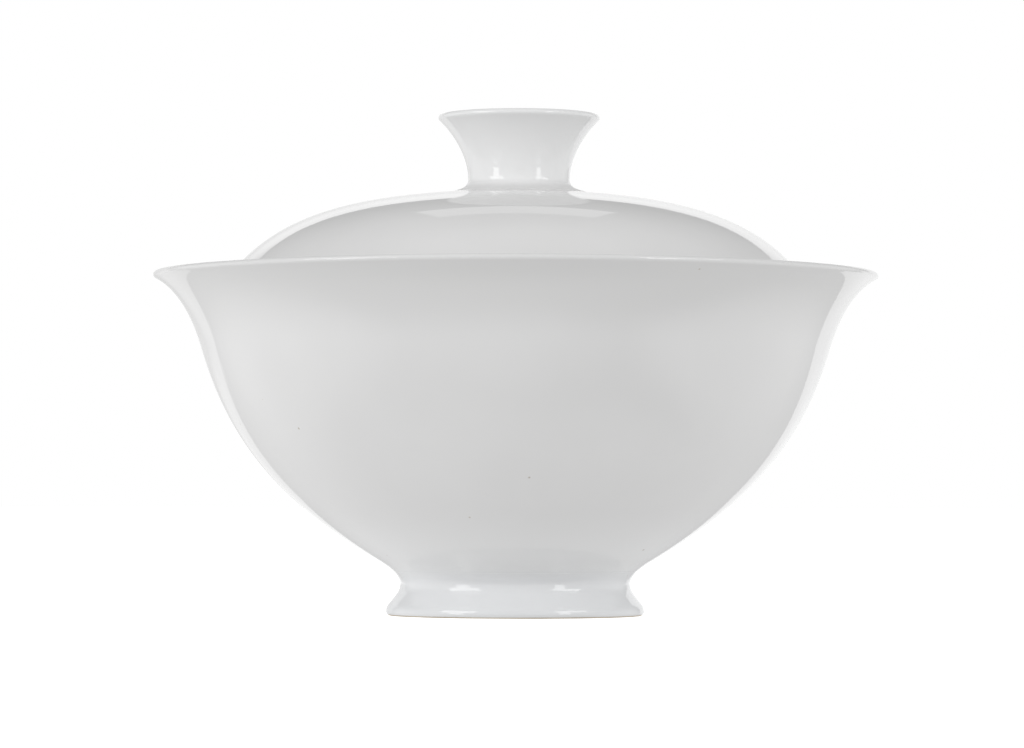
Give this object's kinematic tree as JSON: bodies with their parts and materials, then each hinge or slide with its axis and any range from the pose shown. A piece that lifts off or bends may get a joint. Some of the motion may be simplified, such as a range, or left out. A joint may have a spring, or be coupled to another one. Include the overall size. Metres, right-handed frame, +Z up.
{
  "type": "gaiwan",
  "caption": "Lidded porcelain tea bowl with a flared lip, a flared foot ring and a lift-off domed lid with a hollow flared knob.",
  "frame": {"origin": "middle of the circle that the foot ring stands on", "axes": "+Z up along the axis the bowl and lid are turned about; X and Y are level and interchangeable"},
  "size_m": [0.1, 0.1, 0.0692],
  "materials": {
    "wall_glaze": "white porcelain under a clear gloss glaze",
    "foot_glaze": "clear gloss glaze, slightly cool where it pools, with a bare tan line at the standing edge",
    "knob_glaze": "white porcelain under a clear gloss glaze"
  },
  "bodies": {
    "bowl": {"bowl_body": "wall_glaze", "bowl_foot_ring": "foot_glaze"},
    "lid": {"lid_dome": "wall_glaze", "lid_knob": "knob_glaze"}
  },
  "joints": [
    {"name": "lid_lift", "type": "slide", "parent": "bowl", "child": "lid", "axis": [0, 0, 1], "range_m": [0, 0.014]}
  ]
}
